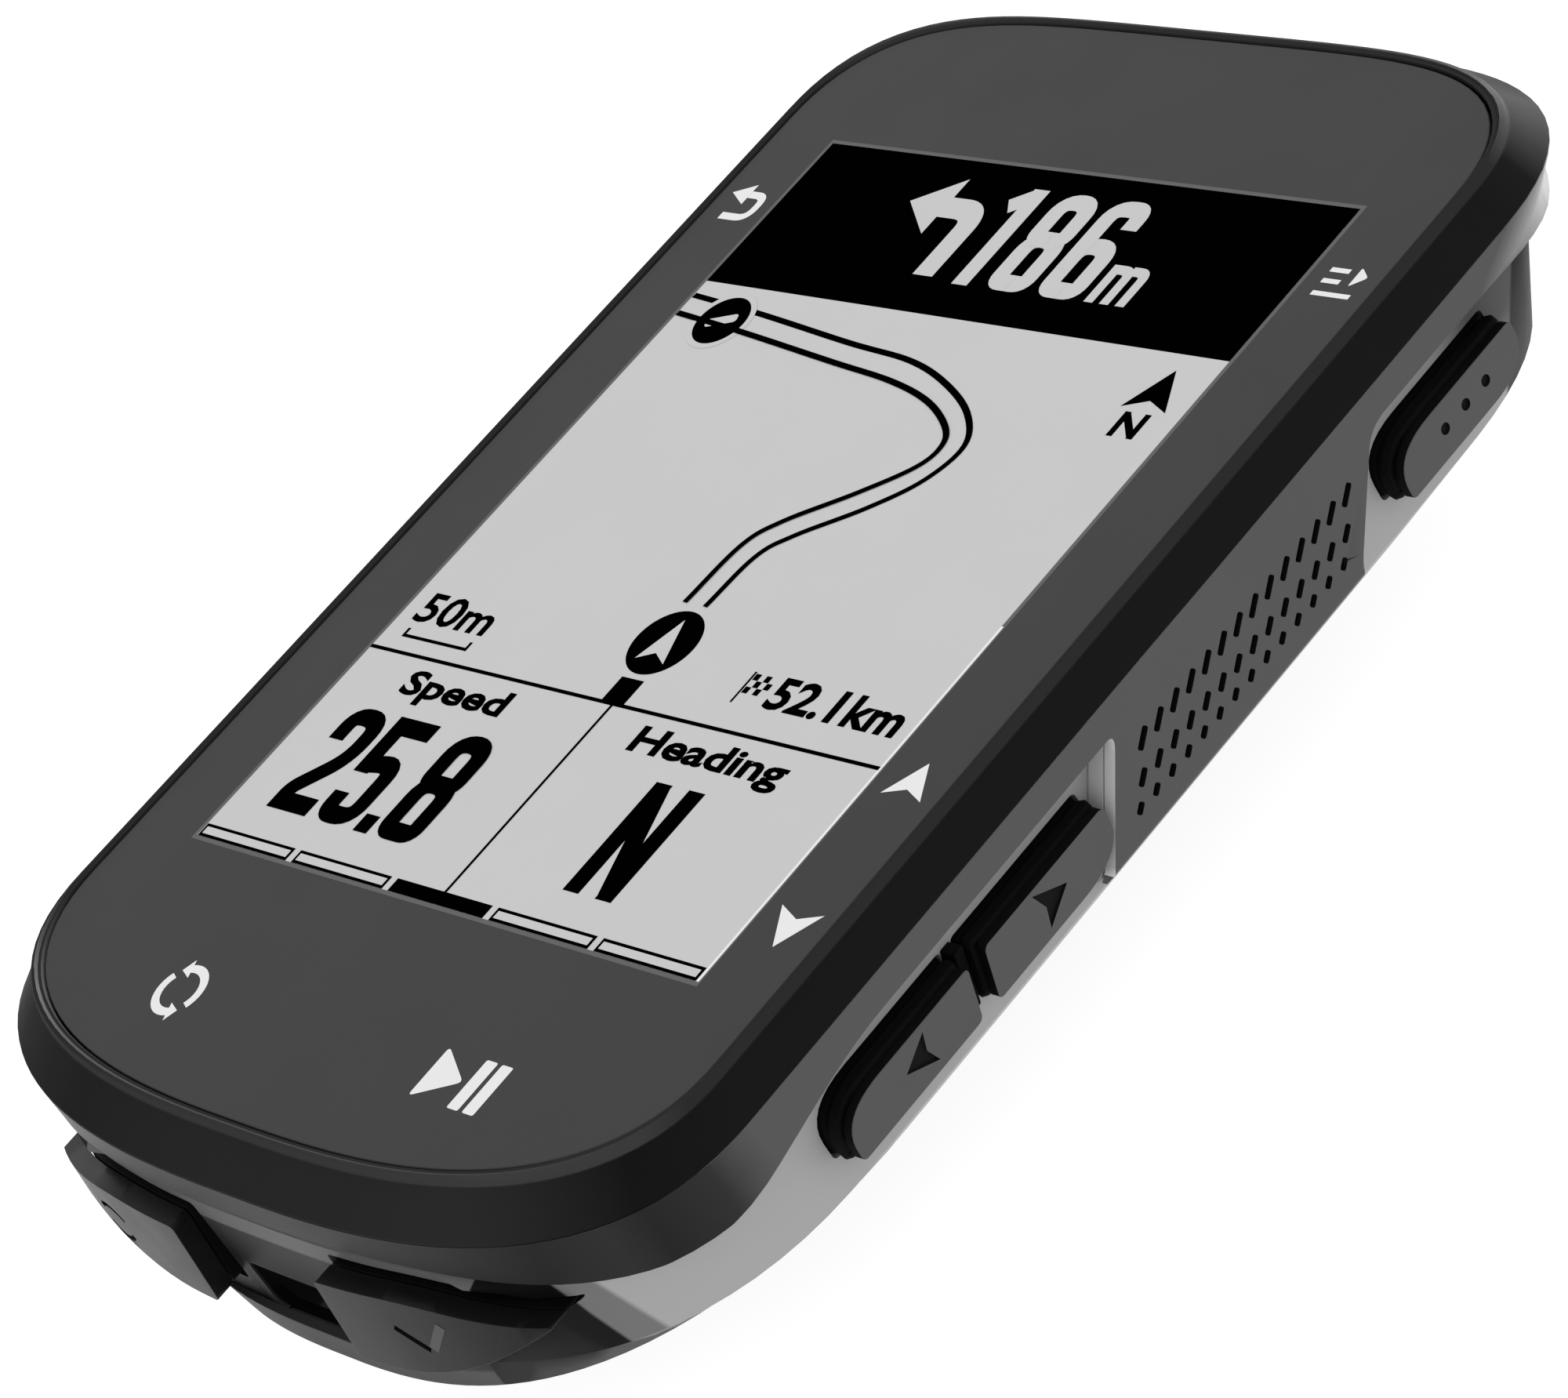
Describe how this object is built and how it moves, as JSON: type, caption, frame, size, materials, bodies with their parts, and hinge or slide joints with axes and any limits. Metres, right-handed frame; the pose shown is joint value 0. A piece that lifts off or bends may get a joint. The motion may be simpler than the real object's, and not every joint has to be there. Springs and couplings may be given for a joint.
{
  "type": "cycling computer",
  "caption": "Slim handlebar display unit with rounded ends, slotted side grips, side and end push buttons, charging door and quarter-turn back mount.",
  "frame": {"origin": "centre of the quarter-turn mount's outer face", "axes": "+Z the way the screen looks, +Y to the top of the screen, +X to the right of the screen"},
  "size_m": [0.0516, 0.0811, 0.0184],
  "materials": {
    "front_panel": "smooth dark grey printed panel, satin",
    "black_plastic": "near-black satin plastic",
    "grip_plastic": "fine matt dark grey plastic",
    "housing_plastic": "mid grey satin plastic, darker at the ends",
    "black_rubber": "soft black silicone",
    "display": "light grey reflective display",
    "polyimide": "amber film",
    "circuit_board": "green solder mask",
    "plated_metal": "tin-plated sheet",
    "ceramic": "fired ceramic",
    "foil": "laminated pouch foil",
    "steel": "zinc-plated steel"
  },
  "bodies": {
    "case": {"cover_lens": "front_panel", "lens_adhesive": "black_plastic", "bezel_frame": "black_plastic", "lcd_glass": "display", "backlight": "display", "display_flat_cable": "polyimide", "inner_chassis": "black_plastic", "side_band": "grip_plastic", "housing_seal": "black_rubber", "rear_housing": "housing_plastic", "menu_switch": "plated_metal", "back_switch": "plated_metal", "up_switch": "plated_metal", "down_switch": "plated_metal", "lap_switch": "plated_metal", "start_switch": "plated_metal", "main_board": "circuit_board", "shield_can": "plated_metal", "satellite_antenna": "ceramic", "buzzer": "black_plastic", "battery_cell": "foil", "usb_socket": "plated_metal", "pressure_vent": "black_rubber", "quarter_turn_mount": "black_plastic", "case_screw_1": "steel", "case_screw_2": "steel", "case_screw_3": "steel", "case_screw_4": "steel", "mount_screw_1": "steel", "mount_screw_2": "steel"},
    "menu_button": {"menu_button_cap": "grip_plastic", "menu_button_boot": "black_rubber", "menu_switch_plunger": "black_plastic"},
    "back_button": {"back_button_cap": "grip_plastic", "back_button_boot": "black_rubber", "back_switch_plunger": "black_plastic"},
    "up_button": {"up_button_cap": "grip_plastic", "up_button_boot": "black_rubber", "up_switch_plunger": "black_plastic"},
    "down_button": {"down_button_cap": "grip_plastic", "down_button_boot": "black_rubber", "down_switch_plunger": "black_plastic"},
    "lap_button": {"lap_button_cap": "black_plastic", "lap_button_boot": "black_rubber", "lap_switch_plunger": "black_plastic"},
    "start_button": {"start_button_cap": "black_plastic", "start_button_boot": "black_rubber", "start_switch_plunger": "black_plastic"},
    "door": {"charging_door": "black_rubber"}
  },
  "joints": [
    {"name": "menu_press", "type": "slide", "parent": "case", "child": "menu_button", "axis": [-1, 0, 0], "range_m": [0, 0.0004], "stiffness_N_per_m": 800},
    {"name": "back_press", "type": "slide", "parent": "case", "child": "back_button", "axis": [1, 0, 0], "range_m": [0, 0.0004], "stiffness_N_per_m": 800},
    {"name": "up_press", "type": "slide", "parent": "case", "child": "up_button", "axis": [-1, 0, 0], "range_m": [0, 0.0004], "stiffness_N_per_m": 800},
    {"name": "down_press", "type": "slide", "parent": "case", "child": "down_button", "axis": [-1, 0, 0], "range_m": [0, 0.0004], "stiffness_N_per_m": 800},
    {"name": "lap_press", "type": "slide", "parent": "case", "child": "lap_button", "axis": [0, 1, 0], "range_m": [0, 0.0004], "stiffness_N_per_m": 800},
    {"name": "start_press", "type": "slide", "parent": "case", "child": "start_button", "axis": [0, 1, 0], "range_m": [0, 0.0004], "stiffness_N_per_m": 800},
    {"name": "door_hinge", "type": "hinge", "parent": "case", "child": "door", "pos_m": [0, -0.0326, 0.00435], "axis": [-1, 0, 0], "range_deg": [0, 105]}
  ]
}
